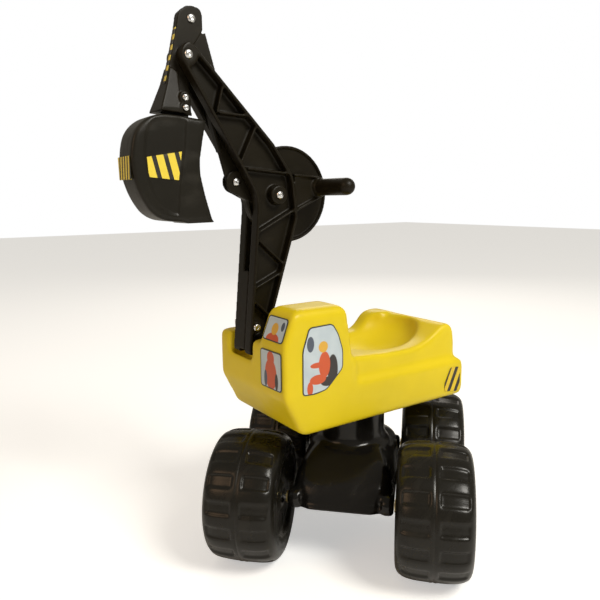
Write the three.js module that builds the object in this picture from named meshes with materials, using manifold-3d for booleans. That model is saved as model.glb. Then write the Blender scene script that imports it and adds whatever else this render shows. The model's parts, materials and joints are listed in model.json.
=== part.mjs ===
// Ride-on toy excavator with a two-lever digging arm. Millimetres, +Z up, the turret faces -Y, and its
// cab stands on the +X side. Everything is laid out from the swivel axis, with the ground at z = 0, and the
// finished model is moved sideways at the end so that its origin is at the middle of its footprint.
import * as THREE from 'three';
import { mergeVertices } from 'three/addons/utils/BufferGeometryUtils.js';
import Module from 'manifold-3d';

const wasm = await Module();
wasm.setup();

// ---------------------------------------------------------------- driving dimensions
const gap = 0.3;                    // running and assembly gap between neighbouring pieces
const wall = 4;                     // wall of the large moulded shells

const wheelRadius = 95;
const wheelHalfWidth = 52.3;
const wheelSides = 28;              // flats round the tread; one of them rests on the ground
const halfTrack = 132.7;            // wheel centre to the chassis middle, along the axle
const halfWheelbase = 114.1;
const axleRadius = 4;
const chassisTurn = THREE.MathUtils.degToRad(44);   // the chassis stands turned under the turret
const chassisHalfWidth = 75;
const chassisHalfLength = 131;
const chassisBottom = 86;
const chassisTop = 160;
const columnRadius = 55;
const columnTop = 209;

const turretBottom = 213.5;
const turretHalfWidth = 90.5;
const turretFront = -184;
const turretRear = 164;
const waistHeight = 274;            // ledge where the body narrows to the seat
const seatHalfWidth = 84;
const frontWallTop = 337;
const roofHeight = 388;
const cabInnerSide = 27;

const armMiddle = -28.5;            // the arm's middle plane, as an x
const armHalfWidth = 24.5;
const channelHalfWidth = 7.5;       // half the space between the two boom halves
const linkHalfWidth = 6.5;          // lever ear and stick top, inside that space
const boltRadius = 4;
const boreRadius = boltRadius + gap;

// Pivots and bolts of the arm, as [y, z].
const boomPivot = [-156, 327];
const baseBolt = [-168.5, 351];
const elbow = [-126.6, 536.6];
const ear = [-186.1, 554.5];
const boomTip = [-258, 709.2];
const stickTop = [-244.4, 756.8];
const discCentre = [-101, 537.6];
const grip = [-54, 547.5];
const openPivotPlay = 4.2;          // extra bore radius where the closed linkage is left open

// ---------------------------------------------------------------- materials
const finish = (color, roughness, metalness = 0) =>
  new THREE.MeshStandardMaterial({ color, roughness, metalness });
const yellow = finish(0xe2bd22, 0.4);
const glossBlack = finish(0x14120f, 0.28);
const mattBlack = finish(0x1d1914, 0.5);
const nylon = finish(0xd8d2c0, 0.6);
const zinc = finish(0xb9bcc0, 0.3, 1);
const brass = finish(0xb9953e, 0.35, 1);
const windowLabel = finish(0xb9c6cc, 0.45);
const hazardLabel = finish(0xe6c832, 0.5);

// ---------------------------------------------------------------- shape helpers
const X = new THREE.Vector3(1, 0, 0);
const Y = new THREE.Vector3(0, 1, 0);
const Z = new THREE.Vector3(0, 0, 1);

// A solid made of a geometry's shared corners, turned the right way out.
function solidOf(geometry) {
  const bare = geometry.clone();
  bare.deleteAttribute('normal');
  bare.deleteAttribute('uv');
  const merged = mergeVertices(bare, 1e-3);
  const corner = merged.index.array;
  const kept = [];
  for (let i = 0; i < corner.length; i += 3) {
    const [a, b, c] = [corner[i], corner[i + 1], corner[i + 2]];
    if (a !== b && b !== c && c !== a) kept.push(a, b, c);
  }
  const vertProperties = new Float32Array(merged.attributes.position.array);
  const made = new wasm.Manifold(new wasm.Mesh({ numProp: 3, vertProperties, triVerts: new Uint32Array(kept) }));
  if (made.volume() >= 0) return made;
  const turned = new Uint32Array(kept.reverse());
  return new wasm.Manifold(new wasm.Mesh({ numProp: 3, vertProperties, triVerts: turned }));
}

const join = (first, ...others) => others.reduce((whole, part) => whole.add(part), first);
const cut = (first, ...others) => others.reduce((whole, part) => whole.subtract(part), first);

// An outline from corners [a, b, radius], each rounded where it has a radius.
function outline(corners) {
  const shape = new THREE.Shape();
  corners.forEach(([a, b, radius = 0], i) => {
    const here = new THREE.Vector2(a, b);
    const before = new THREE.Vector2(...corners.at(i - 1).slice(0, 2)).sub(here);
    const after = new THREE.Vector2(...corners[(i + 1) % corners.length].slice(0, 2)).sub(here);
    const halfAngle = Math.abs(before.angleTo(after)) / 2;
    const reach = Math.min(radius / Math.tan(halfAngle), before.length() * 0.49, after.length() * 0.49);
    const start = here.clone().addScaledVector(before.normalize(), reach);
    const end = here.clone().addScaledVector(after.normalize(), reach);
    if (i === 0) shape.moveTo(start.x, start.y);
    else shape.lineTo(start.x, start.y);
    if (reach > 0) shape.quadraticCurveTo(here.x, here.y, end.x, end.y);
  });
  shape.closePath();
  return shape;
}

// The same corners moved inwards by d, or outwards where d is negative.
function inset(corners, d) {
  const area = corners.reduce((sum, [a, b], i) => {
    const [c, e] = corners[(i + 1) % corners.length];
    return sum + a * e - c * b;
  }, 0);
  const side = Math.sign(area);
  return corners.map(([a, b, radius = 0], i) => {
    const [pa, pb] = corners.at(i - 1);
    const [na, nb] = corners[(i + 1) % corners.length];
    const first = new THREE.Vector2(a - pa, b - pb).normalize();
    const second = new THREE.Vector2(na - a, nb - b).normalize();
    const normal = new THREE.Vector2(-first.y - second.y, first.x + second.x).multiplyScalar(side).normalize();
    const spread = normal.dot(new THREE.Vector2(-first.y, first.x).multiplyScalar(side));
    return [a + (normal.x * d) / spread, b + (normal.y * d) / spread, Math.max(radius - d, 0)];
  });
}

function extruded(corners, depth, basis, offset) {
  const geometry = new THREE.ExtrudeGeometry(outline(corners), { depth, bevelEnabled: false, curveSegments: 4 });
  geometry.applyMatrix4(basis);
  geometry.translate(offset.x, offset.y, offset.z);
  return solidOf(geometry);
}
// Outlines in (y, z), (x, z) and (x, y), given thickness along the third axis.
const alongX = (corners, low, high) =>
  extruded(corners, high - low, new THREE.Matrix4().makeBasis(Y, Z, X), new THREE.Vector3(low, 0, 0));
const alongY = (corners, low, high) =>
  extruded(corners, high - low, new THREE.Matrix4().makeBasis(X, Z, Y.clone().negate()), new THREE.Vector3(0, high, 0));
const alongZ = (corners, low, high) =>
  extruded(corners, high - low, new THREE.Matrix4(), new THREE.Vector3(0, 0, low));

// Round bars along X and along Z.
function barX(radius, low, high, [y, z], sides = 24) {
  const geometry = new THREE.CylinderGeometry(radius, radius, high - low, sides);
  geometry.rotateZ(-Math.PI / 2);
  geometry.translate((low + high) / 2, y, z);
  return solidOf(geometry);
}
function barZ(radius, low, high, [x, y] = [0, 0], sides = 32) {
  const geometry = new THREE.CylinderGeometry(radius, radius, high - low, sides);
  geometry.rotateX(Math.PI / 2);
  geometry.translate(x, y, (low + high) / 2);
  return solidOf(geometry);
}

// A body of revolution about X, from [radius, x] points.
function turnedX(points, sides, quarter = 0) {
  const profile = points.map(([radius, x]) => new THREE.Vector2(radius, x));
  const geometry = new THREE.LatheGeometry([...profile, profile[0].clone()], sides, quarter);
  geometry.rotateZ(-Math.PI / 2);
  return geometry;
}

// A straight bar of the arm's section between two [y, z] points.
function strip([y1, z1], [y2, z2], width, low, high, lift = 0) {
  const along = new THREE.Vector2(y2 - y1, z2 - z1).normalize();
  const side = new THREE.Vector2(-along.y, along.x).multiplyScalar(width / 2);
  const mid = new THREE.Vector2(-along.y, along.x).multiplyScalar(lift);
  const corner = (y, z, s) => [y + s * side.x + mid.x, z + s * side.y + mid.y];
  return alongX([corner(y1, z1, 1), corner(y1, z1, -1), corner(y2, z2, -1), corner(y2, z2, 1)], low, high);
}

const excavator = new THREE.Group();
const chassis = new THREE.Group();
chassis.rotation.z = chassisTurn;
excavator.add(chassis);

// A named mesh of a solid or a geometry, in its group.
function piece(name, shape, material, group = excavator) {
  let geometry = shape;
  if (!shape.isBufferGeometry) {
    const { vertProperties, triVerts } = shape.getMesh();
    geometry = new THREE.BufferGeometry();
    geometry.setAttribute('position', new THREE.BufferAttribute(vertProperties, 3));
    geometry.setIndex(new THREE.BufferAttribute(triVerts, 1));
  }
  const mesh = new THREE.Mesh(geometry, material);
  mesh.name = name;
  group.add(mesh);
  return mesh;
}

// A round-headed bolt along X with its head at the +X end, and the hexagonal nut on its far end.
function bolt(name, at, headSeat, end, { radius = boltRadius, headRadius = 5.6, headHeight = 3 } = {}) {
  const head = barX(headRadius, headSeat, headSeat + headHeight, at, 16);
  piece(name, join(head, barX(radius, end, headSeat + 1, at, 16)), zinc);
}
function nut(name, at, low, high, { radius = boltRadius, across = 6.8 } = {}) {
  piece(name, cut(barX(across, low, high, at, 6), barX(radius + gap, low - 1, high + 1, at, 16)), zinc);
}

// ---------------------------------------------------------------- chassis: moulded hood with a swivel column
// The outer shape of the hood, or its hollow when d is the wall.
function hood(d) {
  const halfWidth = chassisHalfWidth;
  const halfLength = chassisHalfLength;
  const bottom = d ? chassisBottom - 10 : chassisBottom;
  const across = [
    [-halfWidth + d, bottom], [halfWidth - d, bottom], [halfWidth - d, 126 - d, 18], [50 - d / 2, chassisTop - d, 14],
    [-50 + d / 2, chassisTop - d, 14], [-halfWidth + d, 126 - d, 18],
  ];
  const along = [
    [-halfLength + d, bottom], [halfLength - d, bottom], [halfLength - 3 - d, 112 - d, 16], [58 - d / 2, chassisTop - d, 26],
    [-58 + d / 2, chassisTop - d, 26], [-halfLength + 3 + d, 112 - d, 16],
  ];
  const plan = inset([
    [-halfWidth, -halfLength, 42], [halfWidth, -halfLength, 42], [halfWidth, halfLength, 42], [-halfWidth, halfLength, 42],
  ], d);
  return alongY(across, -halfLength - 1, halfLength + 1)
    .intersect(alongX(along, -halfWidth - 1, halfWidth + 1))
    .intersect(alongZ(plan, bottom, chassisTop));
}
function chassisShell() {
  const rimPlan = [
    [-77, -134, 44], [77, -134, 44], [77, 134, 44], [-77, 134, 44],
  ];
  const rim = cut(alongZ(rimPlan, chassisBottom, chassisBottom + 4), alongZ(inset(rimPlan, 6), 80, 95));
  let shell = join(cut(hood(0), hood(wall)), rim, barZ(columnRadius, 140, columnTop));
  shell = cut(shell, barZ(columnRadius - wall - 1, 80, columnTop - 6), barZ(6.4, columnTop - 10, columnTop + 1));
  for (const y of [-halfWheelbase, halfWheelbase]) {
    for (const side of [-1, 1]) {
      shell = join(shell, barX(8.5, Math.min(side * 56, side * 69), Math.max(side * 56, side * 69), [y, wheelRadius]));
    }
    shell = cut(shell, barX(axleRadius + gap, -90, 90, [y, wheelRadius], 16));
  }
  return shell;
}
piece('chassis_shell', chassisShell(), glossBlack, chassis);

// ---------------------------------------------------------------- axles, wheels, washers and push-on caps
const hubHalfLength = 47;
const treadRadius = wheelRadius / Math.cos(Math.PI / wheelSides);
const halfTyre = [
  [17, hubHalfLength], [20, 43], [54, 43], [62, 51], [72, wheelHalfWidth], [84, 49.5], [91.5, 40], [treadRadius, 12],
];
const halfHollow = [[12, 39], [57, 39], [64, 47], [80, 46], [88.5, 36], [treadRadius - wall, 10]];
// Both halves of a wheel section as one closed loop.
const mirrored = (half) => [...half.map(([r, x]) => [r, -x]), ...[...half].reverse()];
const wheelBore = axleRadius + 0.4;

function wheelSolid() {
  const outside = [[wheelBore, -hubHalfLength], ...mirrored(halfTyre), [wheelBore, hubHalfLength]];
  const tyre = solidOf(turnedX(outside, wheelSides, Math.PI / wheelSides));
  const hollow = solidOf(turnedX(mirrored(halfHollow), wheelSides, Math.PI / wheelSides));
  const blowHole = barX(3, -46, -36, [0, 36], 12);
  return cut(tyre, hollow, blowHole);
}
const wheelShape = wheelSolid();
const capShape = solidOf(turnedX([
  [0, 7], [6, 6.2], [9, 3], [10, 0], [axleRadius + gap, 0], [axleRadius + gap, 5], [0, 5],
], 20));
const hubEnd = halfTrack + hubHalfLength;

for (const [row, y] of [['front', -halfWheelbase], ['rear', halfWheelbase]]) {
  piece(`${row}_axle`, barX(axleRadius, -hubEnd - 4.5, hubEnd + 4.5, [y, wheelRadius], 16), zinc, chassis);
  for (const [side, direction] of [['left', 1], ['right', -1]]) {
    const wheel = piece(`${row}_${side}_wheel`, wheelShape, glossBlack, chassis);
    wheel.position.set(direction * halfTrack, y, wheelRadius);
    wheel.rotation.z = direction > 0 ? 0 : Math.PI;
    const washer = cut(barX(9, -1, 1, [0, 0], 20), barX(axleRadius + gap, -2, 2, [0, 0], 16));
    piece(`${row}_${side}_washer`, washer, brass, chassis).position.set(direction * 79, y, wheelRadius);
    const cap = piece(`${row}_${side}_cap`, capShape, zinc, chassis);
    cap.position.set(direction * (hubEnd + gap), y, wheelRadius);
    cap.rotation.z = direction > 0 ? 0 : Math.PI;
  }
}

// ---------------------------------------------------------------- swivel: bearing ring, bolt, washer and nut
const ring = cut(barZ(50, columnTop + gap, turretBottom - gap), barZ(30, columnTop, turretBottom));
piece('swivel_ring', ring, nylon);
const floorTop = turretBottom + wall;
piece('swivel_washer', cut(barZ(20, floorTop + gap, floorTop + 3), barZ(5 + gap, 200, 240)), zinc);
piece('swivel_bolt', join(barZ(9, floorTop + 3 + gap, floorTop + 9, [0, 0], 6), barZ(5, 186, floorTop + 5, [0, 0], 16)), zinc);
piece('swivel_nut', cut(barZ(9, 194, columnTop - 6 - gap, [0, 0], 6), barZ(5 + gap, 180, 220, [0, 0], 16)), zinc);

// ---------------------------------------------------------------- turret: one hollow moulding with cab, seat and arm slot
const chinBack = 27;
const slotEdges = [-60.2, 3.2];
const slotProfile = [
  [turretFront - 20, 308], [turretFront + 6, 308], [turretFront + 6, 295], [-112, 295, 12], [-112, 410], [turretFront - 20, 410],
];
const rise = (z) => turretFront + chinBack * (1 - (z - turretBottom) / (waistHeight - turretBottom));

// The whole outer form less d all round, with the slot and the seat bowl grown by d.
function turretForm(d) {
  const half = turretHalfWidth;
  const lower = inset([
    [turretFront + chinBack, turretBottom, 8], [turretRear, turretBottom, 8], [turretRear, waistHeight, 9],
    [turretFront, waistHeight],
  ], d);
  const front = inset([
    [rise(242), 242], [-60, 242], [-60, 308, 6], [-112, frontWallTop, 10], [turretFront, frontWallTop, 7],
    [turretFront, waistHeight],
  ], d);
  const cab = inset([
    [rise(242), 242], [-67, 242], [-67, 308, 6], [-80, roofHeight, 10], [turretFront + 18, roofHeight, 9],
    [turretFront, 340, 4], [turretFront, waistHeight],
  ], d);
  const seat = inset([
    [-72, 242], [156, 242], [154, 296, 8], [144, 327, 9], [128, 336, 8], [110, 325, 14], [72, 306, 20], [10, 305, 20],
    [-72, 310],
  ], d);
  const bodyPlan = inset([[-half, turretFront, 12], [half, turretFront, 12], [half, turretRear, 10], [-half, turretRear, 10]], d);
  const bolster = inset([
    [50, 242], [156, 242], [154, 296, 8], [144, 327, 9], [128, 336, 8], [90, 334, 12], [72, 309, 14], [50, 303],
  ], d);
  const seatPlan = inset([
    [-seatHalfWidth, -90], [seatHalfWidth, -90], [seatHalfWidth, 157, 18], [-seatHalfWidth, 157, 18],
  ], d);
  const cabFront = inset([[cabInnerSide, 200], [half, 200], [half, roofHeight, 9], [cabInnerSide, roofHeight, 9]], d);
  const block = join(alongX(lower, -half + d, half - d), alongX(front, -half + d, half - d));
  const tower = alongX(cab, cabInnerSide + d, half - d).intersect(alongY(cabFront, -200, 0));
  const body = join(block, tower).intersect(alongZ(bodyPlan, 200, 400));
  const bench = join(alongX(seat, -seatHalfWidth + d, seatHalfWidth - d), alongX(bolster, -seatHalfWidth + d, -44 - d))
    .intersect(alongZ(seatPlan, 200, 400));
  const slot = alongX(inset(slotProfile, -d), slotEdges[0] - d, slotEdges[1] + d);
  const bowlShape = new THREE.SphereGeometry(1, 28, 20);
  bowlShape.scale(71 + d, 91 + d, 47 + d);
  bowlShape.translate(0, 33, 330);
  return cut(join(body, bench), slot, solidOf(bowlShape));
}
function turretShell() {
  const outside = turretForm(0);
  const bosses = join(barX(9, -89, slotEdges[0] - 1, boomPivot), barX(9, slotEdges[1] + 1, 31, boomPivot));
  const shell = join(cut(outside, turretForm(wall)), bosses.intersect(outside));
  return cut(shell, barX(boreRadius, -100, 32, boomPivot, 16), barZ(6.4, 210, 220));
}
piece('turret_shell', turretShell(), yellow);

// The boom's pivot bolt goes in from the right-hand side and its nut sits inside the cab.
const rightSide = -turretHalfWidth;
const pivotHead = barX(7.5, rightSide - gap - 4, rightSide - gap, boomPivot, 16);
piece('boom_pivot_bolt', join(pivotHead, barX(boltRadius, rightSide - 1, 38, boomPivot, 16)), zinc);
nut('boom_pivot_nut', boomPivot, 31 + gap, 37);

// Window and hazard labels, thin films on the moulding's flat faces.
const film = 0.6;
const sideWindow = [
  [-157, 271, 5], [-157, 334, 4], [-146, 365, 8], [-104, 366, 10], [-88, 326, 8], [-88, 300, 10], [-118, 273, 12],
];
piece('side_window_label', alongX(sideWindow, turretHalfWidth + gap, turretHalfWidth + gap + film), windowLabel);
const slopeOut = (t, out) => [
  turretFront + 18 * t - out * Math.cos(Math.atan2(18, 48)), 340 + 48 * t + out * Math.sin(Math.atan2(18, 48)),
];
const windshield = [slopeOut(0.1, gap), slopeOut(0.78, gap), slopeOut(0.78, gap + film), slopeOut(0.1, gap + film)];
piece('windshield_label', alongX(windshield, 34, 84), windowLabel);
const frontWindow = [[30, 276, 3], [86, 278, 3], [86, 334, 3], [30, 333, 3]];
piece('front_window_label', alongY(frontWindow, turretFront - gap - film, turretFront - gap), windowLabel);
const rearStripes = [[118, 224], [148, 220], [154, 227], [154, 261], [147, 262], [131, 263], [118, 236]];
piece('rear_hazard_label', alongX(rearStripes, turretHalfWidth + gap, turretHalfWidth + gap + film), hazardLabel);

// ---------------------------------------------------------------- boom: two flanged halves with truss ribs
const boomOutline = [
  [-181, 311, 5], [-160.4, 533.4, 60], [-271, 711, 16], [-257, 729, 12], [-134, 606, 30], [-102, 562, 35], [-95.5, 504, 25],
  [-143, 357.5, 10], [-143, 311, 14],
];
const ribs = [
  [[-176, 572.4], [-102, 566.2]], [[-159, 485.6], [-95, 517.8]], [[-160, 474.4], [-117, 436]],
  [[-167, 406.8], [-119, 428]], [[-173, 391.6], [-137, 358]], [[-216, 643], [-165, 641]],
  [[-219, 643], [-207, 688]], [[-186, 579], [-160, 631]],
];
// One half, described by its distance from the arm's middle plane and mirrored for the other side.
function boomHalf(side) {
  const near = (distance) => armMiddle + side * distance;
  const band = (make, a, b) => make(Math.min(near(a), near(b)), Math.max(near(a), near(b)));
  const webInner = channelHalfWidth;
  const webOuter = channelHalfWidth + 3;
  const plate = band((low, high) => alongX(boomOutline, low, high), webInner, armHalfWidth);
  const recess = band((low, high) => alongX(inset(boomOutline, 4), low, high), webOuter, armHalfWidth + 5);
  const inside = band((low, high) => alongX(inset(boomOutline, 1), low, high), webInner, armHalfWidth);
  const truss = ribs.map(([from, to]) => band((low, high) => strip(from, to, 3, low, high), webInner + 1, armHalfWidth - 2));
  const bosses = [[elbow, 13.5], [boomTip, 14], [baseBolt, 9], [boomPivot, 11]].map(
    ([at, radius]) => band((low, high) => barX(radius, low, high, at), webInner, armHalfWidth));
  let half = join(cut(plate, recess), join(...truss, ...bosses).intersect(inside));
  for (const at of [elbow, boomTip, baseBolt, boomPivot]) {
    half = cut(half, band((low, high) => barX(boreRadius, low, high, at, 16), 0, armHalfWidth + 5));
  }
  return half;
}
// The left half also carries the child's left-hand grip on a flanged bracket.
function gripBracket() {
  const outer = armMiddle + armHalfWidth;
  const web = alongX([[-99, 566], [-54, 561.5], [-46, 547.5], [-52, 534.5], [-97, 514]], outer - 8, outer - 4);
  const edges = join(strip([-101, 565], [-53, 561], 3.5, outer - 8, outer), strip([-97, 515], [-52, 535], 3.5, outer - 8, outer));
  const boss = barX(14, outer - 10, outer, grip);
  const bar = barX(12.3, outer - 1, 55, grip);
  const end = new THREE.SphereGeometry(12.3, 24, 12);
  end.rotateZ(Math.PI / 2);
  end.translate(55, ...grip);
  return join(web, edges, boss, bar, solidOf(end));
}
// The right half's web wraps round the front of the foot, and a hub on it spaces the halves at the base bolt.
const coverFace = (z) => -181 + ((z - 311) * 20.6) / 222.4;
function footWeb() {
  const low = armMiddle - channelHalfWidth - 1;
  const high = armMiddle + channelHalfWidth - gap;
  const face = alongX([
    [coverFace(316), 316], [coverFace(316) + wall, 316], [coverFace(430) + wall, 430], [coverFace(430), 430],
  ], low, high);
  const hub = barX(8.5, low, high, baseBolt);
  return cut(join(face, hub), barX(boreRadius, low - 1, high + 1, baseBolt, 16));
}
piece('boom_left_half', join(boomHalf(1), gripBracket()), mattBlack);
piece('boom_right_half', join(boomHalf(-1), footWeb()), mattBlack);

const bossFace = armMiddle + armHalfWidth;
const farBossFace = armMiddle - armHalfWidth;
for (const [name, at] of [['base', baseBolt], ['elbow', elbow], ['boom_tip', boomTip]]) {
  bolt(`${name}_bolt`, at, bossFace + gap, farBossFace - 6);
  nut(`${name}_nut`, at, farBossFace - gap - 5, farBossFace - gap);
}

// ---------------------------------------------------------------- stick lever: disc, forked ear and right-hand grip
const forkHalf = 3.2;               // half the space inside the lever's ear and the stick's top
const linkLow = armMiddle - linkHalfWidth;
const linkHigh = armMiddle + linkHalfWidth;
function stickLever() {
  const web = barX(69, armMiddle - 2.5, armMiddle + 2.5, discCentre, 48);
  const rim = cut(barX(69, linkLow + 0.5, linkHigh - 0.5, discCentre, 48), barX(65, linkLow - 1, linkHigh + 1, discCentre, 48));
  const hub = barX(15, linkLow - 0.2, linkHigh + 0.2, elbow);
  const arm = alongX([[-182, 568.5], [-112, 578], [-112, 510], [-150, 520], [-192, 540.5]], linkLow, linkHigh);
  const eye = barX(15.5, linkLow, linkHigh, ear);
  const forkMouth = [[-198, 600], [-158, 600], [-158, 572], [-164, 563], [-186, 560]];
  const fork = join(barX(20, armMiddle - forkHalf, armMiddle + forkHalf, ear, 32),
    alongX(forkMouth, armMiddle - forkHalf, armMiddle + forkHalf));
  const knobStart = armMiddle - 2;
  const bar = barX(12.3, -112, knobStart, grip);
  const end = new THREE.SphereGeometry(12.3, 24, 12);
  end.rotateZ(Math.PI / 2);
  end.translate(-112, ...grip);
  const solid = cut(join(web, rim, hub, arm, eye), fork);
  return cut(join(solid, bar, solidOf(end)), barX(boreRadius, linkLow - 2, linkHigh + 2, elbow, 16),
    barX(boreRadius, linkLow - 2, linkHigh + 2, ear, 16));
}
piece('stick_lever', stickLever(), mattBlack);
bolt('ear_bolt', ear, linkHigh + gap, linkLow - 3.6);
nut('ear_nut', ear, linkLow - gap - 3, linkLow - gap);

// ---------------------------------------------------------------- link rod, from the lever's ear to the stick's top
const rodLength = Math.hypot(stickTop[0] - ear[0], stickTop[1] - ear[1]);
const rodAlong = new THREE.Vector2(stickTop[0] - ear[0], stickTop[1] - ear[1]).normalize();
// A point at a distance up the rod, and at a distance to its rear side.
const onRod = (up, back) => [ear[0] + rodAlong.x * up + rodAlong.y * back, ear[1] + rodAlong.y * up - rodAlong.x * back];
function linkRod() {
  const low = armMiddle - 2.5;
  const high = armMiddle + 2.5;
  const blade = alongX([
    onRod(0, -11.5), onRod(0, 11.5), onRod(38, 11.5), [...onRod(42, 16.5), 3], onRod(rodLength - 19, 16.5),
    onRod(rodLength - 19, 11.5), onRod(rodLength, 11), onRod(rodLength, -11),
  ], low, high);
  const flanges = join(
    alongX([onRod(44, 13.5), onRod(44, 16.5), onRod(132, 16.5), onRod(132, 13.5)], linkLow + 0.3, linkHigh - 0.3),
    alongX([onRod(44, -11.5), onRod(44, -8.5), onRod(132, -8.5), onRod(132, -11.5)], linkLow + 0.3, linkHigh - 0.3));
  const ends = join(barX(11.5, low, high, ear), barX(11.8, low, high, stickTop));
  return cut(join(blade, ends, flanges), barX(boreRadius, low - 1, high + 1, ear, 16),
    barX(boltRadius + openPivotPlay, low - 1, high + 1, stickTop));
}
piece('link_rod', linkRod(), mattBlack);

// ---------------------------------------------------------------- stick, forked at the top and flared at the foot
const stickFront = [[-264.5, 757], [-265, 744], [-272, 714.5], [-282.5, 675], [-295, 640]];
function stickSolid() {
  const side = [
    [-251, 772, 12], [-261.5, 762, 8], [-265, 744, 10], [-272, 714.5, 8], [-282.5, 675], [-295, 641], [-248, 637],
    [-251, 690], [-244, 722, 8], [-229, 744, 8], [-229, 772, 14],
  ];
  const core = alongX(side, linkLow, linkHigh);
  const flareSide = alongX([[-277, 695], [-282.5, 675], [-295, 641], [-267, 638.8], [-267, 690]], -60, 0);
  const flareFront = alongY([
    [armMiddle - 6.5, 716], [armMiddle - 10, 696], [armMiddle - 14.5, 675], [armMiddle - 23, 645], [armMiddle - 23.5, 630],
    [armMiddle + 19, 630], [armMiddle + 18.5, 645], [armMiddle + 12.5, 675], [armMiddle + 9, 696], [armMiddle + 6.5, 716],
  ], -300, -200);
  const pads = bucketBolts.map((at) => barX(7.5, armMiddle - 19, armMiddle + 19, at));
  const boss = barX(9.5, armMiddle - channelHalfWidth + gap, armMiddle + channelHalfWidth - gap, boomTip);
  const rodSlot = cut(alongX([[-261.2, 790], [-261.2, 743], [-266, 720], [-263, 698], [-220, 698], [-220, 790]],
    armMiddle - forkHalf, armMiddle + forkHalf), barX(10, -60, 0, boomTip));
  const lugSlot = alongX([[-287, 620], [-287, 646], [-280, 668], [-240, 668], [-240, 620]], armMiddle - 5.3, armMiddle + 5.3);
  let stick = join(core, flareSide.intersect(flareFront), boss, ...pads);
  stick = cut(stick, rodSlot, lugSlot, barX(boreRadius, -60, 0, boomTip, 16), barX(boreRadius, -60, 0, stickTop, 16));
  for (const at of bucketBolts) stick = cut(stick, barX(3 + gap, -60, 0, at, 12));
  return stick;
}
const bucketBolts = [[-262, 658], [-262, 645.5]];
piece('stick', stickSolid(), mattBlack);
bolt('stick_top_bolt', stickTop, linkHigh + gap, linkLow - 3.6);
nut('stick_top_nut', stickTop, linkLow - gap - 3, linkLow - gap);

// ---------------------------------------------------------------- bucket, open towards the turret, on a bolted lug
function bucketSolid() {
  const low = armMiddle - 25;
  const high = armMiddle + 25;
  const outside = [
    [-294, 636.5, 3], [-326, 629, 24], [-338.5, 592, 30], [-337, 548, 34], [-309, 506, 16], [-262, 501], [-230, 502],
    [-240, 537], [-247.5, 571, 12], [-240.5, 609], [-235, 632], [-262, 634.5],
  ];
  const hollow = [
    [-294, 633, 3], [-323, 625, 21], [-335, 592, 27], [-333.5, 549, 30], [-307, 509.5, 13], [-262, 504.5], [-200, 505.5],
    [-200, 629], [-262, 631],
  ];
  const shell = cut(alongX(outside, low, high), alongX(hollow, low + 3.5, high - 3.5));
  const lug = alongX([[-285, 634], [-285, 645, 4], [-277, 667, 5], [-252, 667, 5], [-252, 633]], armMiddle - 5, armMiddle + 5);
  let bucket = join(shell, lug);
  for (const at of bucketBolts) bucket = cut(bucket, barX(3 + gap, -60, 0, at, 12));
  return bucket;
}
piece('bucket', bucketSolid(), mattBlack);
bucketBolts.forEach((at, i) => {
  const place = ['upper', 'lower'][i];
  const small = { radius: 3, headRadius: 4.4, headHeight: 2.5, across: 5.2 };
  bolt(`bucket_${place}_bolt`, at, armMiddle + 19 + gap, armMiddle - 22.8, small);
  nut(`bucket_${place}_nut`, at, armMiddle - 22.3, armMiddle - 19 - gap, small);
});
const bucketBand = [[-324, 560], [-324, 583], [-276, 590], [-272, 588], [-279, 556]];
piece('bucket_hazard_label', alongX(bucketBand, armMiddle + 25 + gap, armMiddle + 25 + gap + film), hazardLabel);
const frontBand = [[-338.6, 584], [-337.9, 556], [-338.5, 556], [-339.2, 584]];
piece('bucket_front_label', alongX(frontBand, armMiddle - 21, armMiddle + 21), hazardLabel);
const stickBand = [
  [stickFront[1][0] - gap, stickFront[1][1]], [stickFront[2][0] - gap, stickFront[2][1]], [stickFront[3][0] - gap, 675],
  [stickFront[3][0] - gap - film, 675], [stickFront[2][0] - gap - film, stickFront[2][1]],
  [stickFront[1][0] - gap - film, stickFront[1][1]],
];
piece('stick_hazard_label', alongX(stickBand, linkHigh - 6, linkHigh - 0.5), hazardLabel);

// ---------------------------------------------------------------- origin at the middle of the footprint
const box = new THREE.Box3().setFromObject(excavator, true);
const model = new THREE.Group();
excavator.position.set(-(box.min.x + box.max.x) / 2, -(box.min.y + box.max.y) / 2, -box.min.z);
model.add(excavator);

export default model;
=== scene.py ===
import json
import math

import bmesh
import bpy
from mathutils import Matrix, Vector


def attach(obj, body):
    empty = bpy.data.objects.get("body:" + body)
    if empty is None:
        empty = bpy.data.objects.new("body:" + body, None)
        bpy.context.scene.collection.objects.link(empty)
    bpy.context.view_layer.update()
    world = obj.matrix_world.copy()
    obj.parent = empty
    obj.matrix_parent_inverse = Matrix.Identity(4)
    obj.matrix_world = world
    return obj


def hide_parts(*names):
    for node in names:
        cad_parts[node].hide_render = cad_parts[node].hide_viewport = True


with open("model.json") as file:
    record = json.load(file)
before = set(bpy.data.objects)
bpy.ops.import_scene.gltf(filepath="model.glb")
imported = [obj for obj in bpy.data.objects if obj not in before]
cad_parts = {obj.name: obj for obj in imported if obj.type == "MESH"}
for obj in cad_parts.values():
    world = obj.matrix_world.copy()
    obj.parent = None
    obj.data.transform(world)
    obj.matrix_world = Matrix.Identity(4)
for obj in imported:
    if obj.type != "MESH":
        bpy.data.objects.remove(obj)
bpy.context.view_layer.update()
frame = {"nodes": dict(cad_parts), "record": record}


# ---------------------------------------------------------------- shared helpers
def add_object(name, data):
    """Puts a new object in the scene, from its mesh, camera or light data."""
    thing = bpy.data.objects.new(name, data)
    bpy.context.scene.collection.objects.link(thing)
    return thing


def add_shape(name, bm):
    """Puts a finished bmesh in the scene as a new object."""
    mesh = bpy.data.meshes.new(name)
    bm.to_mesh(mesh)
    bm.free()
    return add_object(name, mesh)


def discard(*things):
    """Removes helper objects that have done their cutting."""
    for thing in things:
        bpy.data.objects.remove(thing)


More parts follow.
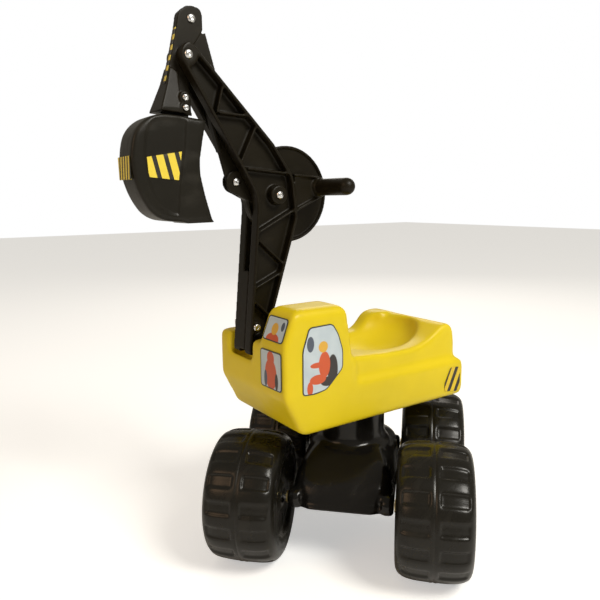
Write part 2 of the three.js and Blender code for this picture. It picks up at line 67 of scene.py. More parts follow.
def shade_smooth(piece):
    """Shades a piece's faces as one smooth surface."""
    piece.data.polygons.foreach_set("use_smooth", [True] * len(piece.data.polygons))


def new_material(name):
    """A new material, with its node tree and its main shader."""
    material = bpy.data.materials.new(name)
    material.use_nodes = True
    return material, material.node_tree, material.node_tree.nodes["Principled BSDF"]


def scaled(tree, value, factor):
    """A node's value times a fixed factor."""
    product = tree.nodes.new("ShaderNodeMath")
    product.operation = "MULTIPLY"
    product.inputs[1].default_value = factor
    tree.links.new(value, product.inputs[0])
    return product.outputs[0]


def blend(tree, factor, first, second):
    """Mixes two colours, each of them given as numbers or taken from another node."""
    mix = tree.nodes.new("ShaderNodeMix")
    mix.data_type = "RGBA"
    tree.links.new(factor, mix.inputs["Factor"])
    for socket, colour in (("A", first), ("B", second)):
        if isinstance(colour, bpy.types.NodeSocket):
            tree.links.new(colour, mix.inputs[socket])
        else:
            mix.inputs[socket].default_value = (*colour, 1)
    return mix.outputs["Result"]


# ---------------------------------------------------------------- studio
# A plain pale floor under soft studio light, with the camera at the low three-quarter front view.
camera_place = Vector((0.7172, -0.5894, 0.5310))  # metres from the swivel axis, on the floor
floor_half_width = 9.0
floor_glow = 0.45
light_aim_height = 0.3
joints = {joint["name"]: joint for joint in frame["record"]["behaviour"]["joints"]}
swivel = Vector(joints["turret_swivel"]["pos_m"])
swivel_axis = Vector((swivel.x, swivel.y, 0.0))

camera_data = bpy.data.cameras.new("studio_camera")
camera_data.sensor_width = 36.0
camera_data.lens = 35.9
camera = add_object("studio_camera", camera_data)
bpy.context.scene.camera = camera
azimuth = math.radians(55.5)
pitch = math.radians(9.6)
roll = math.radians(-0.5)
backwards = Vector((math.sin(azimuth), -math.cos(azimuth), 0.0))
sideways = Vector((math.cos(azimuth), math.sin(azimuth), 0.0))
looking = -backwards * math.cos(pitch) - Vector((0, 0, 1)) * math.sin(pitch)
upright = sideways.cross(looking)
right = sideways * math.cos(roll) + upright * math.sin(roll)
up = upright * math.cos(roll) - sideways * math.sin(roll)
turn = Matrix((right, up, -looking)).transposed().to_4x4()
camera.matrix_world = Matrix.Translation(swivel_axis + camera_place) @ turn

floor_bm = bmesh.new()
bmesh.ops.create_grid(floor_bm, x_segments=8, y_segments=8, size=floor_half_width)
studio_floor = add_shape("studio_floor", floor_bm)
floor_paint, floor_tree, floor_shader = new_material("studio_floor_paint")
floor_shader.inputs["Base Color"].default_value = (0.93, 0.93, 0.92, 1)
floor_shader.inputs["Roughness"].default_value = 0.75
floor_shader.inputs["Emission Color"].default_value = (1, 1, 1, 1)
# The floor glows for the camera alone, so the studio looks bright and the part's light stays as it is.
floor_rays = floor_tree.nodes.new("ShaderNodeLightPath")
seen_glow = scaled(floor_tree, floor_rays.outputs["Is Camera Ray"], floor_glow)
floor_tree.links.new(seen_glow, floor_shader.inputs["Emission Strength"])
studio_floor.data.materials.append(floor_paint)

world = bpy.data.worlds.new("studio_air")
bpy.context.scene.world = world
world.use_nodes = True
air_nodes, air_links = world.node_tree.nodes, world.node_tree.links
seen_air = air_nodes["Background"]
seen_air.inputs["Color"].default_value = (1.0, 1.0, 1.0, 1)
seen_air.inputs["Strength"].default_value = 1.0
lit_air = air_nodes.new("ShaderNodeBackground")
lit_air.inputs["Color"].default_value = (1.0, 0.92, 0.78, 1)
lit_air.inputs["Strength"].default_value = 0.30
air_choice = air_nodes.new("ShaderNodeMixShader")
air_rays = air_nodes.new("ShaderNodeLightPath")
air_links.new(air_rays.outputs["Is Camera Ray"], air_choice.inputs["Fac"])
air_links.new(lit_air.outputs["Background"], air_choice.inputs[1])
air_links.new(seen_air.outputs["Background"], air_choice.inputs[2])
air_links.new(air_choice.outputs["Shader"], air_nodes["World Output"].inputs["Surface"])
bpy.context.scene.view_settings.view_transform = "Standard"

for name, place, size, watts, tint in [
    ("key_softbox", (1.9, 0.3, 2.1), 0.9, 52.0, (1.0, 0.97, 0.9)),
    ("front_softbox", (0.3, -2.6, 1.7), 1.2, 11.5, (1.0, 0.62, 0.36)),
    ("back_softbox", (-1.8, 1.7, 1.7), 1.2, 11.0, (1.0, 0.93, 0.84)),
]:
    light_data = bpy.data.lights.new(name, "AREA")
    light_data.energy = watts
    light_data.size = size
    light_data.color = tint
    light = add_object(name, light_data)
    aim = (swivel_axis + Vector((0, 0, light_aim_height))) - Vector(place)
    light.matrix_world = Matrix.Translation(place) @ aim.to_track_quat("-Z", "Y").to_matrix().to_4x4()


# ---------------------------------------------------------------- shared finishes
# All the plastics and metals draw on one group of noises, so they mottle and scuff alike.
def skin_group():
    """Shared look of moulded plastic: slow mottling, drawn-out scuffs, and the height of a fine grain."""
    group = bpy.data.node_groups.new("moulded_skin", "ShaderNodeTree")
    for name in ("Mottle Scale", "Scuff Scale", "Grain Scale"):
        group.interface.new_socket(name, in_out="INPUT", socket_type="NodeSocketFloat")
    for name in ("Mottle", "Scuff", "Grain"):
        group.interface.new_socket(name, in_out="OUTPUT", socket_type="NodeSocketFloat")
    given = group.nodes.new("NodeGroupInput")
    made = group.nodes.new("NodeGroupOutput")
    coordinates = group.nodes.new("ShaderNodeTexCoord")
    for label, detail, stretch, low, high in [
        ("Mottle", 4.0, (1, 1, 1), 0.35, 0.68),
        ("Scuff", 6.0, (1.0, 0.22, 0.5), 0.56, 0.74),
        ("Grain", 2.0, (1, 1, 1), 0.2, 0.8),
    ]:
        mapping = group.nodes.new("ShaderNodeMapping")
        mapping.inputs["Scale"].default_value = stretch
        noise = group.nodes.new("ShaderNodeTexNoise")
        noise.inputs["Detail"].default_value = detail
        group.links.new(coordinates.outputs["Object"], mapping.inputs["Vector"])
        group.links.new(mapping.outputs["Vector"], noise.inputs["Vector"])
        group.links.new(given.outputs[f"{label} Scale"], noise.inputs["Scale"])
        ramp = group.nodes.new("ShaderNodeMapRange")
        ramp.inputs["From Min"].default_value = low
        ramp.inputs["From Max"].default_value = high
        group.links.new(noise.outputs["Fac"], ramp.inputs["Value"])
        group.links.new(ramp.outputs["Result"], made.inputs[label])
    return group


moulded_skin = skin_group()
usual_scales = (9.0, 60.0, 900.0)


def add_skin(tree, scales=usual_scales):
    """The shared look in a material, with the scales of its mottling, scuffs and grain."""
    skin = tree.nodes.new("ShaderNodeGroup")
    skin.node_tree = moulded_skin
    for socket, value in zip(("Mottle Scale", "Scuff Scale", "Grain Scale"), scales):
        skin.inputs[socket].default_value = value
    return skin.outputs


def dull_scuffs(tree, skin, shader, roughness, worn_roughness):
    """Makes the scuffs duller than the rest."""
    dullness = tree.nodes.new("ShaderNodeMapRange")
    dullness.inputs["To Min"].default_value = roughness
    dullness.inputs["To Max"].default_value = worn_roughness
    tree.links.new(skin["Scuff"], dullness.inputs["Value"])
    tree.links.new(dullness.outputs["Result"], shader.inputs["Roughness"])


def darker(colour, share):
    """A colour with each channel brought down to a share of itself."""
    return [channel * share for channel in colour]


def plastic(name, colour, worn_colour, roughness, worn_roughness, grain, depth, scales=usual_scales, mirror=0.32):
    """A moulded plastic: its colour drifts slowly, scuffs are paler and duller, and the grain dents it."""
    material, tree, shader = new_material(name)
    shader.inputs["Specular IOR Level"].default_value = mirror
    skin = add_skin(tree, scales)
    drift = blend(tree, skin["Mottle"], colour, darker(colour, 0.84))
    wear = blend(tree, scaled(tree, skin["Scuff"], 0.22), drift, worn_colour)
    tree.links.new(wear, shader.inputs["Base Color"])
    dull_scuffs(tree, skin, shader, roughness, worn_roughness)
    bump = tree.nodes.new("ShaderNodeBump")
    bump.inputs["Strength"].default_value = grain
    bump.inputs["Distance"].default_value = depth
    tree.links.new(skin["Grain"], bump.inputs["Height"])
    tree.links.new(bump.outputs["Normal"], shader.inputs["Normal"])
    return material


# ---------------------------------------------------------------- shared ways of shaping
# Pieces are drawn in millimetres from the point on the floor under the swivel, then fitted to their body.
def prism(outline, axis, low, high):
    """A closed block: an outline of [a, b, radius] corners in millimetres, thickened along one axis."""
    bm = bmesh.new()
    place = {
        "x": lambda a, b: (low, a, b),
        "y": lambda a, b: (a, low, b),
        "z": lambda a, b: (a, b, low),
    }[axis]
    corners = [bm.verts.new(place(corner[0], corner[1])) for corner in outline]
    base = bm.faces.new(corners)
    top = bmesh.ops.extrude_face_region(bm, geom=[base])["geom"]
    travel = {"x": (high - low, 0, 0), "y": (0, high - low, 0), "z": (0, 0, high - low)}[axis]
    bmesh.ops.translate(bm, verts=[part for part in top if isinstance(part, bmesh.types.BMVert)], vec=travel)
    # Each corner's long edge is found by the corner it starts from, and rounded to its own radius.
    for radius in sorted({corner[2] for corner in outline if len(corner) > 2 and corner[2] > 0}):
        wanted = [Vector(place(c[0], c[1])) for c in outline if len(c) > 2 and c[2] == radius]
        direction = Vector(travel).normalized()
        edges = []
        for edge in bm.edges:
            first, second = (vert.co for vert in edge.verts)
            along = abs((second - first).normalized().dot(direction)) > 0.999
            if along and any(min((first - w).length, (second - w).length) < 1e-4 for w in wanted):
                edges.append(edge)
        bmesh.ops.bevel(bm, geom=edges, offset=radius, offset_type="OFFSET", affect="EDGES", segments=6,
                        profile=0.5, material=-1, clamp_overlap=True)
    bmesh.ops.recalc_face_normals(bm, faces=bm.faces)
    return add_shape("block", bm)


def turned(profile, steps, name="turning"):
    """A body of revolution about the X axis, from a closed profile of (x, radius) points in millimetres."""
    bm = bmesh.new()
    points = [bm.verts.new((x, 0, radius)) for x, radius in profile]
    edges = [bm.edges.new((a, b)) for a, b in zip(points, points[1:] + points[:1])]
    bmesh.ops.spin(bm, geom=points + edges, cent=(0, 0, 0), axis=(1, 0, 0), angle=math.tau, steps=steps,
                   use_merge=True)
    bmesh.ops.remove_doubles(bm, verts=bm.verts, dist=1e-4)
    bmesh.ops.dissolve_degenerate(bm, edges=bm.edges, dist=1e-5)
    bmesh.ops.recalc_face_normals(bm, faces=bm.faces)
    return add_shape(name, bm)


def settle(piece):
    """Bakes a piece's modifiers into its mesh."""
    bpy.context.view_layer.update()
    baked = bpy.data.meshes.new_from_object(piece.evaluated_get(bpy.context.evaluated_depsgraph_get()))
    old = piece.data
    piece.modifiers.clear()
    piece.data = baked
    bpy.data.meshes.remove(old)


def carve(piece, others, operation="DIFFERENCE"):
    """Cuts the other blocks out of a piece, or keeps only what is common to them."""
    for other in others:
        cutter = piece.modifiers.new("carve", "BOOLEAN")
        cutter.operation = operation
        cutter.solver = "EXACT"
        cutter.object = other
    settle(piece)


def soften(piece, voxel, rounds):
    """Gives a piece one closed skin and softens its edges, as a moulding comes from its tool."""
    remesh = piece.modifiers.new("skin", "REMESH")
    remesh.mode = "VOXEL"
    remesh.voxel_size = voxel
    settle(piece)
    bm = bmesh.new()
    bm.from_mesh(piece.data)
    for _ in range(rounds):
        bmesh.ops.smooth_vert(bm, verts=bm.verts, factor=0.5, use_axis_x=True, use_axis_y=True, use_axis_z=True)
    bm.to_mesh(piece.data)
    bm.free()
    shade_smooth(piece)


def melt(name, blocks, voxel, rounds):
    """Fuses overlapping closed blocks into one soft-edged moulding."""
    bm = bmesh.new()
    for block in blocks:
        bm.from_mesh(block.data)
    discard(*blocks)
    piece = add_shape(name, bm)
    soften(piece, voxel, rounds)
    return piece


to_metres = Matrix.Scale(0.001, 4)


def fit(piece, body, slot, material, *nodes, turned_by=0.0):
    """Sets a piece drawn in millimetres from the swivel axis in its place, on its body, with its finish."""
    piece.data.transform(Matrix.Translation(swivel_axis) @ Matrix.Rotation(turned_by, 4, "Z") @ to_metres)
    piece.data.materials.append(material)
    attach(piece, body)
    if nodes:
        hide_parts(*nodes)


# ---------------------------------------------------------------- chassis hood
# One black injection-moulded hood, open underneath, with a round column on top that the turret swivels
# on. It stands turned under the turret, and is glossy with light scuffs.
hood_black = plastic("hood_black_plastic", (0.0075, 0.0068, 0.006), (0.02, 0.019, 0.017),
                     roughness=0.17, worn_roughness=0.3, grain=0.1, depth=0.0002)
chassis_turn = math.radians(44)
axle_height = 95
axle_from_middle = 114.1


def hood_block(d, bottom):
    """The hood's outer form less d all round: a sloped section across, another along, and a round-cornered plan."""
    across = prism([
        (-75 + d, bottom), (75 - d, bottom), (75 - d, 126 - d, 26), (47 - d / 2, 160 - d, 16),
        (-47 + d / 2, 160 - d, 16), (-75 + d, 126 - d, 26),
    ], "y", -140, 140)
    along = prism([
        (-131 + d, bottom), (131 - d, bottom), (129 - d, 110 - d, 20), (58 - d / 2, 160 - d, 30),
        (-58 + d / 2, 160 - d, 30), (-129 + d, 110 - d, 20),
    ], "x", -80, 80)
    plan = prism([
        (-75 + d, -131 + d, 38), (75 - d, -131 + d, 38), (75 - d, 131 - d, 38), (-75 + d, 131 - d, 38),
    ], "z", bottom - 1, 161)
    carve(across, [along, plan], "INTERSECT")
    discard(along, plan)
    return across


def upright_bar(radius, low, high, steps=64):
    """A round bar standing on the swivel axis."""
    bar = turned([(low, 0), (low, radius), (high, radius), (high, 0)], steps)
    bar.data.transform(Matrix.Rotation(-math.pi / 2, 4, "Y"))
    return bar


hood_hollow = hood_block(d=8, bottom=70)
column_hollow = upright_bar(49, 70, 203)
hood_outer = melt("hood_dome", [hood_block(d=0, bottom=50)], voxel=3.0, rounds=70)
below_rim = prism([(-150, -150), (150, -150), (150, 150), (-150, 150)], "z", 20, 86.6)
carve(hood_outer, [below_rim, hood_hollow, column_hollow])
discard(below_rim)
rim = prism([(-77, -133.5, 42), (77, -133.5, 42), (77, 133.5, 42), (-77, 133.5, 42)], "z", 86, 91)
carve(rim, [hood_hollow])
column = upright_bar(55, 140, 209)
carve(column, [column_hollow])
flare = turned([(146, 49.5), (146, 66), (150, 64), (158, 57.5), (166, 55), (166, 49.5)], 64)
flare.data.transform(Matrix.Rotation(-math.pi / 2, 4, "Y"))
bearing_seats = []
for end in (-axle_from_middle, axle_from_middle):
    for side in (-1, 1):
        seat = turned([(60, 0), (60, 15), (74, 15), (77.2, 11), (77.2, 0)], 40)
        seat.data.transform(Matrix.Rotation(0 if side > 0 else math.pi, 4, "Z"))
        seat.data.transform(Matrix.Translation((0, end, axle_height)))
        bearing_seats.append(seat)
discard(hood_hollow, column_hollow)
hood = melt("hood_moulding", [hood_outer, rim, column, flare, *bearing_seats], voxel=2.4, rounds=6)
fit(hood, "chassis", "gloss_black", hood_black, "chassis_shell", turned_by=chassis_turn)


# ---------------------------------------------------------------- wheels
# Four broad barrel-shaped blow-moulded wheels in black. Each has a middle rib, a ring of shallow pockets
# on either side of it that leaves raised bars, a stepped side wall, and a hub that runs on the axle.
wheel_black = plastic("wheel_black_plastic", (0.0095, 0.0085, 0.0060), (0.034, 0.030, 0.023),
                      roughness=0.27, worn_roughness=0.42, grain=0.2, depth=0.0003)
half_profile = [
    (47.0, 4.7), (47.0, 15.0), (46.0, 18.0), (43.2, 20.5), (42.6, 26.0), (42.6, 47.0), (43.2, 52.5), (46.0, 55.5),
    (50.2, 58.0), (51.2, 62.0), (51.6, 66.5), (50.9, 68.5), (51.2, 71.0), (51.8, 76.0), (50.8, 81.5), (48.0, 86.2),
    (44.0, 89.6), (40.0, 91.8), (34.0, 93.3), (27.0, 94.3), (19.0, 94.8), (11.0, 95.0), (6.4, 95.0), (1.6, 95.0),
    (0.7, 94.2),
]
pockets_round = 16
steps_per_pocket = 6
wheel_steps = pockets_round * steps_per_pocket
pocket_inner, pocket_outer, tread_radius = 6.2, 45, 87
pocket_depth = 2.8
wheel_from_middle = 132.7
wheel_places = {
    "front_left": (wheel_from_middle, -axle_from_middle), "front_right": (-wheel_from_middle, -axle_from_middle),
    "rear_left": (wheel_from_middle, axle_from_middle), "rear_right": (-wheel_from_middle, axle_from_middle),
}
for corner, (x, y) in wheel_places.items():
    profile = half_profile + [(-a, radius) for a, radius in reversed(half_profile)]
    wheel = turned(profile, wheel_steps, f"{corner}_wheel_moulding")
    bm = bmesh.new()
    bm.from_mesh(wheel.data)
    for side in (-1, 1):
        for pocket in range(pockets_round):
            floor_faces = []
            for face in bm.faces:
                middle = face.calc_center_median()
                step = int((math.atan2(middle.z, middle.y) % math.tau) / math.tau * wheel_steps)
                inside_cell = 1 <= step % steps_per_pocket <= 3 and step // steps_per_pocket == pocket
                radius = math.hypot(middle.y, middle.z)
                if inside_cell and pocket_inner < side * middle.x < pocket_outer and radius > tread_radius:
                    floor_faces.append(face)
            bmesh.ops.inset_region(bm, faces=floor_faces, thickness=1.0, depth=-pocket_depth,
                                   use_even_offset=True, use_boundary=True)
    bm.to_mesh(wheel.data)
    bm.free()
    shade_smooth(wheel)
    rounding = wheel.modifiers.new("rounding", "SUBSURF")
    rounding.levels = 1
    rounding.render_levels = 1
    settle(wheel)
    wheel.data.transform(Matrix.Translation((x, y, axle_height)))
    fit(wheel, f"{corner}_wheel", "gloss_black", wheel_black, f"{corner}_wheel", turned_by=chassis_turn)


# ---------------------------------------------------------------- axles, washers, caps and the swivel hardware
# Bright zinc-plated rods with pressed caps, brass-coloured washers beside the wheels, and the nylon ring,
# bolt and nut of the swivel. They are plain turned parts, left as they are and given their metals.
def metal(name, colour, roughness, spread):
    """A plated metal with fine turning marks and faint clouding."""
    material, tree, shader = new_material(name)
    shader.inputs["Metallic"].default_value = 1.0
    skin = add_skin(tree, (60.0, 400.0, 2500.0))
    tint = blend(tree, skin["Mottle"], colour, darker(colour, 0.72))
    tree.links.new(tint, shader.inputs["Base Color"])
    dull_scuffs(tree, skin, shader, roughness, roughness + spread)
    return material


zinc = metal("zinc_plating", (0.78, 0.79, 0.80), roughness=0.24, spread=0.2)
brass = metal("brass_washer_metal", (0.83, 0.66, 0.32), roughness=0.3, spread=0.2)
nylon = plastic("swivel_ring_nylon", (0.72, 0.69, 0.6), (0.5, 0.47, 0.4),
                roughness=0.45, worn_roughness=0.6, grain=0.1, depth=0.0002)


def dress(material, *nodes):
    """Gives pieces that keep the part's own mesh their finish."""
    for node in nodes:
        mesh = frame["nodes"][node].data
        mesh.materials.clear()
        mesh.materials.append(material)


dress(zinc, "front_axle", "rear_axle", "swivel_bolt", "swivel_nut", "swivel_washer")
dress(nylon, "swivel_ring")
for corner in wheel_places:
    dress(zinc, f"{corner}_cap")
    dress(brass, f"{corner}_washer")


# ---------------------------------------------------------------- turret
# One yellow blow moulding with soft edges: a chin and a front wall, a slot for the arm, a cab on the left,
# and a bench with a hollowed seat whose back is a low rounded crest. It swivels on the column.
turret_yellow = plastic("turret_yellow_plastic", (0.82, 0.63, 0.011), (0.86, 0.70, 0.06),
                        roughness=0.36, worn_roughness=0.5, grain=0.16, depth=0.0004,
                        scales=(5.0, 45.0, 500.0))
turret_side = 90.5
turret_front = -184
lower_block = prism([
    (-157, 213.5, 12), (164, 213.5, 10), (164, 275, 12), (-184, 275),
], "x", -turret_side, turret_side)
front_block = prism([
    (-171, 243), (-60, 243), (-60, 308, 10), (-112, 338, 12), (-184, 338, 9), (-184, 270),
], "x", -turret_side, turret_side)
cab_block = prism([
    (-171, 243), (-67, 243), (-67, 308), (-80, 388, 13), (-166, 388, 11), (-184, 340, 6), (-184, 270),
], "x", 27, turret_side)
cab_front = prism([
    (27, 200), (turret_side, 200), (turret_side, 388, 12), (27, 388, 12),
], "y", -190, 0)
carve(cab_block, [cab_front], "INTERSECT")
bench = prism([
    (-72, 243), (156, 243), (154, 296), (144, 328, 12), (126, 337, 12), (108, 325, 16), (74, 306, 24), (10, 305, 24),
    (-72, 311),
], "x", -84, 84)
bolster = prism([
    (50, 243), (156, 243), (154, 296), (144, 328, 12), (126, 337, 12), (90, 335, 14), (72, 309, 16), (50, 303),
], "x", -84, -44)
bench_plan = prism([(-84, -90), (84, -90), (84, 157, 20), (-84, 157, 20)], "z", 240, 345)
carve(bench, [bench_plan], "INTERSECT")
carve(bolster, [bench_plan], "INTERSECT")
arm_slot = prism([
    (-200, 308), (-178, 308, 3), (-178, 295, 4), (-112, 295, 12), (-112, 420), (-200, 420),
], "x", -60.2, 3.2)
bowl_bm = bmesh.new()
bmesh.ops.create_uvsphere(bowl_bm, u_segments=48, v_segments=32, radius=1.0)
bmesh.ops.scale(bowl_bm, verts=bowl_bm.verts, vec=(71, 91, 47))
bmesh.ops.translate(bowl_bm, verts=bowl_bm.verts, vec=(0, 33, 330))
seat_bowl = add_shape("seat_bowl", bowl_bm)
swivel_pocket = upright_bar(24, 200, 236)
turret_blocks = [lower_block, front_block, cab_block, bench, bolster]
for block in turret_blocks:
    carve(block, [arm_slot, seat_bowl, swivel_pocket])
discard(cab_front, bench_plan, arm_slot, seat_bowl, swivel_pocket)
turret = melt("turret_moulding", turret_blocks, voxel=2.6, rounds=16)
fit(turret, "turret", "yellow_shell", turret_yellow, "turret_shell")


# ---------------------------------------------------------------- printed labels
# Thin printed films on the cab and the body: pale window panes with a dark border and a plain seated
# figure sign, and slanted warning bars. They are stuck on the flat faces.
film_thickness = 0.6
glue_gap = 0.3


def film(name, outline, axis, at, inset=1.6, tilt=None, corner=5.0):
    """A thin film with a border strip: slot 0 is the print and slot 1 the border."""
    bm = bmesh.new()
    place = {"x": lambda a, b: (at, a, b), "y": lambda a, b: (a, at, b)}[axis]
    face = bm.faces.new([bm.verts.new(place(a, b)) for a, b in outline])
    if corner:
        bmesh.ops.bevel(bm, geom=face.verts[:], offset=corner, affect="VERTICES", segments=4, profile=0.5,
                        material=-1, clamp_overlap=True)
    bm.faces.ensure_lookup_table()
    if inset > 0:
        rim = bmesh.ops.inset_region(bm, faces=bm.faces[:], thickness=inset, depth=0, use_even_offset=True,
                                     use_boundary=True)
        for border in rim["faces"]:
            border.material_index = 1
    top = bmesh.ops.extrude_face_region(bm, geom=bm.faces[:])["geom"]
    outward = (film_thickness, 0, 0) if axis == "x" else (0, -film_thickness, 0)
    bmesh.ops.translate(bm, verts=[part for part in top if isinstance(part, bmesh.types.BMVert)], vec=outward)
    bmesh.ops.recalc_face_normals(bm, faces=bm.faces)
    if tilt:
        bmesh.ops.rotate(bm, verts=bm.verts, cent=tilt[0], matrix=Matrix.Rotation(tilt[1], 3, "X"))
    return add_shape(name, bm)


def pane_print(name, across, spots):
    """A pale window pane with oval patches of print, each given by its middle, half sizes and colour."""
    material, tree, shader = new_material(name)
    nodes, links = tree.nodes, tree.links
    ignored = 1000.0  # a half size so large that the axis across the pane doesn't count
    shader.inputs["Roughness"].default_value = 0.32
    coordinates = nodes.new("ShaderNodeTexCoord")
    noise = nodes.new("ShaderNodeTexNoise")
    noise.inputs["Scale"].default_value = 45.0
    links.new(coordinates.outputs["Object"], noise.inputs["Vector"])
    shade = blend(tree, noise.outputs["Fac"], (0.62, 0.70, 0.74), (0.44, 0.53, 0.60))
    for middle_a, middle_z, half_a, half_z, colour in spots:
        mapping = nodes.new("ShaderNodeMapping")
        mapping.vector_type = "TEXTURE"
        if across == "y":
            mapping.inputs["Location"].default_value = (0, middle_a / 1000 + swivel_axis.y, middle_z / 1000)
            mapping.inputs["Scale"].default_value = (ignored, half_a / 1000, half_z / 1000)
        else:
            mapping.inputs["Location"].default_value = (middle_a / 1000, 0, middle_z / 1000)
            mapping.inputs["Scale"].default_value = (half_a / 1000, ignored, half_z / 1000)
        links.new(coordinates.outputs["Object"], mapping.inputs["Vector"])
        distance = nodes.new("ShaderNodeVectorMath")
        distance.operation = "LENGTH"
        links.new(mapping.outputs["Vector"], distance.inputs[0])
        edge = nodes.new("ShaderNodeMapRange")
        edge.inputs["From Min"].default_value = 1.0
        edge.inputs["From Max"].default_value = 0.93
        links.new(distance.outputs["Value"], edge.inputs["Value"])
        shade = blend(tree, edge.outputs["Result"], shade, colour)
    links.new(shade, shader.inputs["Base Color"])
    return material


overall_orange = (0.62, 0.10, 0.03)
helmet_yellow = (0.75, 0.42, 0.05)
seat_grey = (0.035, 0.03, 0.03)
wheel_grey = (0.08, 0.10, 0.14)
border_ink = plastic("label_border_ink", (0.05, 0.055, 0.06), (0.1, 0.1, 0.1),
                     roughness=0.35, worn_roughness=0.45, grain=0.05, depth=0.0001)

side_window = film("side_window_film", [
    (-156, 272), (-156, 333), (-145, 364), (-106, 365), (-96, 350), (-88, 326), (-88, 300), (-116, 274), (-136, 271),
], "x", turret_side + glue_gap)
side_print = pane_print("side_window_print", "y", [
    (-106, 301, 9, 22, seat_grey), (-113, 286, 14, 7, seat_grey), (-120, 310, 10, 19, overall_orange),
    (-131, 291, 14, 7, overall_orange), (-144, 280, 5, 10, overall_orange), (-132, 311, 12, 4, overall_orange),
    (-122, 335, 8, 8, helmet_yellow), (-143, 341, 6, 11, wheel_grey),
])
fit(side_window, "turret", "window_label", side_print, "side_window_label")
side_window.data.materials.append(border_ink)

front_window = film("front_window_film", [
    (32, 279), (84, 280), (84, 333), (32, 332),
], "y", turret_front - glue_gap)
front_print = pane_print("front_window_print", "x", [
    (58, 300, 15, 22, overall_orange), (58, 322, 9, 10, overall_orange), (45, 292, 4, 12, wheel_grey),
    (72, 292, 4, 12, seat_grey),
])
fit(front_window, "turret", "window_label", front_print, "front_window_label")
front_window.data.materials.append(border_ink)

windshield_lean = -math.atan2(18, 48)
windshield = film("windshield_film", [
    (34, 345), (83, 345), (83, 379), (36, 379),
], "y", turret_front - glue_gap, tilt=((0, turret_front, 340), windshield_lean))
windshield_print = pane_print("windshield_print", "x", [
    (58, 347, 16, 9, overall_orange), (58, 361, 8, 8, helmet_yellow), (75, 366, 4, 6, wheel_grey),
])
fit(windshield, "turret", "window_label", windshield_print, "windshield_label")
windshield.data.materials.append(border_ink)


def warning_bars(name, light, dark, direction, pitch, share, start=0.0):
    """Slanted bars: light where the distance along the direction falls in the first share of each pitch."""
    material, tree, shader = new_material(name)
    nodes, links = tree.nodes, tree.links
    coordinates = nodes.new("ShaderNodeTexCoord")
    along = nodes.new("ShaderNodeVectorMath")
    along.operation = "DOT_PRODUCT"
    along.inputs[1].default_value = Vector(direction).normalized() / (pitch / 1000)
    links.new(coordinates.outputs["Object"], along.inputs[0])
    shift = nodes.new("ShaderNodeMath")
    shift.inputs[1].default_value = start
    links.new(along.outputs["Value"], shift.inputs[0])
    fraction = nodes.new("ShaderNodeMath")
    fraction.operation = "FRACT"
    links.new(shift.outputs[0], fraction.inputs[0])
    inside = nodes.new("ShaderNodeMath")
    inside.operation = "LESS_THAN"
    inside.inputs[1].default_value = share
    links.new(fraction.outputs[0], inside.inputs[0])
    ink = blend(tree, inside.outputs[0], dark, light)
    rubbed = blend(tree, scaled(tree, add_skin(tree)["Scuff"], 0.25), ink, (0.3, 0.27, 0.18))
    links.new(rubbed, shader.inputs["Base Color"])
    shader.inputs["Roughness"].default_value = 0.4
    return material


rear_bars = film("rear_warning_film", [
    (119, 226), (149, 221.5), (154.5, 228), (154.5, 260), (148, 262), (132, 263), (119, 238),
], "x", turret_side + glue_gap, inset=0)
rear_print = warning_bars("rear_warning_print", (0.79, 0.55, 0.010), (0.02, 0.017, 0.010),
                          direction=(0, 0.899, -0.437), pitch=14.8, share=0.53, start=0.45)
fit(rear_bars, "turret", "hazard_label", rear_print, "rear_hazard_label")


# ---------------------------------------------------------------- boom
# Two mirrored black half channels with truss ribs, open outwards, bolted together at the foot, the elbow
# and the tip, and the right half's web closes the front of the foot. The left half carries a grip.
arm_black = plastic("arm_black_plastic", (0.0105, 0.0080, 0.0035), (0.034, 0.027, 0.015),
                    roughness=0.38, worn_roughness=0.5, grain=0.25, depth=0.0003,
                    scales=(14.0, 90.0, 1100.0), mirror=0.17)


def recast(node, name, body, material, voxel, rounds=2):
    """A moulding with the part's own shape, its edges softened as they come from the tool."""
    mesh = frame["nodes"][node].data.copy()
    bm = bmesh.new()
    bm.from_mesh(mesh)
    bmesh.ops.remove_doubles(bm, verts=bm.verts, dist=1e-6)
    bm.to_mesh(mesh)
    bm.free()
    piece = add_object(name, mesh)
    soften(piece, voxel / 1000, rounds)
    piece.data.materials.clear()
    piece.data.materials.append(material)
    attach(piece, body)
    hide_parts(node)


recast("boom_left_half", "boom_left_moulding", "boom", arm_black, voxel=1.3)
recast("boom_right_half", "boom_right_moulding", "boom", arm_black, voxel=1.3)


# ---------------------------------------------------------------- stick lever, link rod, stick and bucket
# The lever is a disc with a rim, a forked ear and the right-hand grip. The rod joins it to the stick's top,
# and the stick ends in a flared foot that the open bucket is bolted to. All but the bucket are the arm's
# black plastic, and the bucket's is a little glossier.
recast("stick_lever", "lever_moulding", "lever", arm_black, voxel=1.3)
recast("link_rod", "rod_moulding", "rod", arm_black, voxel=1.0)
recast("stick", "stick_moulding", "stick", arm_black, voxel=1.0)
bucket_black = plastic("bucket_black_plastic", (0.0135, 0.0120, 0.0085), (0.045, 0.040, 0.030),
                       roughness=0.32, worn_roughness=0.48, grain=0.2, depth=0.0003,
                       scales=(14.0, 80.0, 1100.0), mirror=0.22)
bucket_outline = [
    (-294, 636.5), (-326, 629, 22), (-338.5, 592, 30), (-337, 548, 34), (-309, 506, 16), (-262, 501), (-230, 502),
    (-240, 537), (-247.5, 571, 12), (-240.5, 609), (-235, 632), (-262, 634.5),
]
bucket_body = melt("bucket_body", [prism(bucket_outline, "x", -53.5, -3.5)], voxel=1.6, rounds=22)
bucket_hollow = prism([
    (-294, 632.5), (-322, 625, 18), (-334, 592, 26), (-332.5, 549, 30), (-306.5, 510.5, 13), (-262, 505.5),
    (-200, 506.5), (-200, 628.5), (-262, 630.5),
], "x", -49.5, -7.5)
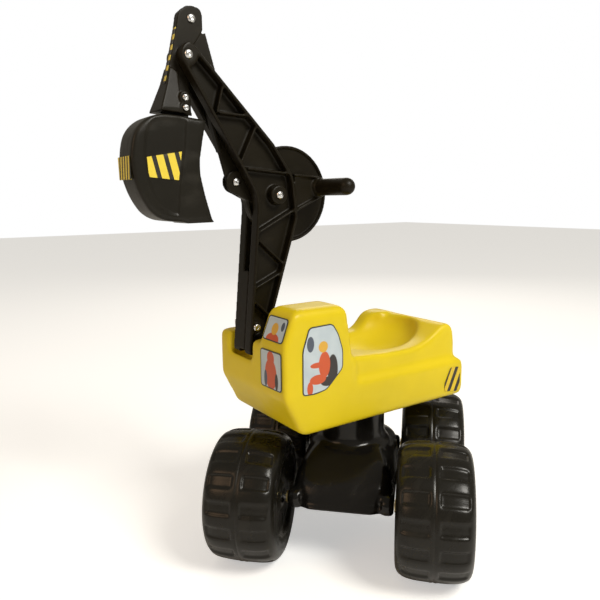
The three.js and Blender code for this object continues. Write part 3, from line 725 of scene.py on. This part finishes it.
panel = [
    (-264, 632, 3), (-267, 593, 20), (-276, 548, 20), (-279, 511, 3), (-292, 514, 8), (-309, 533, 12),
    (-319, 556, 14), (-322, 592, 14), (-316, 621, 10), (-305, 631, 5),
]
left_panel = prism(panel, "x", -5.0, 0)
right_panel = prism(panel, "x", -57, -52)
carve(bucket_body, [bucket_hollow, left_panel, right_panel])
discard(bucket_hollow, left_panel, right_panel)
bucket_lug = prism([(-285, 634), (-285, 645, 4), (-277, 667, 5), (-252, 667, 5), (-252, 633)], "x", -33.5, -23.5)
cutting_lip = prism([(-268, 500.6), (-229.5, 501.2, 1), (-231, 504.4, 1), (-268, 504)], "x", -53.0, -4.0)
bucket = melt("bucket_moulding", [bucket_body, bucket_lug, cutting_lip], voxel=1.3, rounds=2)
fit(bucket, "stick", "arm_black", bucket_black, "bucket")

bucket_bars = film("bucket_warning_film", [
    (-316.5, 559), (-318, 583), (-272, 591), (-277.5, 555.5),
], "x", -4.9, inset=0, corner=0)
bar_yellow, bar_black = (0.85, 0.66, 0.06), (0.02, 0.018, 0.015)
bucket_print = warning_bars("bucket_warning_print", bar_yellow, bar_black,
                            direction=(0, 0.97, 0.24), pitch=15.2, share=0.62, start=0.07)
fit(bucket_bars, "stick", "hazard_label", bucket_print, "bucket_hazard_label")
bucket_front_print = warning_bars("bucket_front_print", bar_yellow, bar_black,
                                  direction=(1, 0, -0.15), pitch=9, share=0.55)
dress(bucket_front_print, "bucket_front_label")
stick_print = warning_bars("stick_warning_print", (0.8, 0.62, 0.09), (0.03, 0.025, 0.02),
                           direction=(0, 0.1, 1), pitch=13, share=0.5)
dress(stick_print, "stick_hazard_label")


# ---------------------------------------------------------------- bolts and nuts of the arm
# Zinc-plated screws with low domed heads and a driver slot ring, and hexagonal nuts on the far side.
def dome_screw(name, node, body, y, z, seat, end, head=5.6, shank=4.0):
    """A screw along X: a domed head that sits on the near side, and its shank down to the nut."""
    screw = turned([
        (seat, shank), (seat, head), (seat + 0.9, head), (seat + 2.2, head * 0.82), (seat + 3.0, head * 0.45),
        (seat + 3.0, head * 0.34), (seat + 1.8, head * 0.3), (seat + 1.8, 0),
        (end, 0), (end, shank - 0.5), (end + 0.6, shank),
    ], 32, name)
    screw.data.transform(Matrix.Translation((0, y, z)))
    shade_smooth(screw)
    edge = screw.modifiers.new("edge", "BEVEL")
    edge.width = 0.25
    edge.segments = 2
    edge.limit_method = "ANGLE"
    settle(screw)
    fit(screw, body, "zinc", zinc, node)


across_boom = (-3.7, -59)
across_fork = (-21.7, -38.6)
for name, body, y, z, (seat, end) in [
    ("base", "boom", -168.5, 351, across_boom), ("elbow", "boom", -126.6, 536.6, across_boom),
    ("boom_tip", "boom", -258, 709.2, across_boom), ("ear", "lever", -186.1, 554.5, across_fork),
    ("stick_top", "stick", -244.4, 756.8, across_fork),
]:
    dome_screw(f"{name}_screw", f"{name}_bolt", body, y, z, seat, end)
    dress(zinc, f"{name}_nut")
for name, z in [("upper", 658), ("lower", 645.5)]:
    dome_screw(f"bucket_{name}_screw", f"bucket_{name}_bolt", "stick", -262, z, -9.2, -51.3, head=4.4, shank=3.0)
    dress(zinc, f"bucket_{name}_nut")
dress(zinc, "boom_pivot_bolt", "boom_pivot_nut")
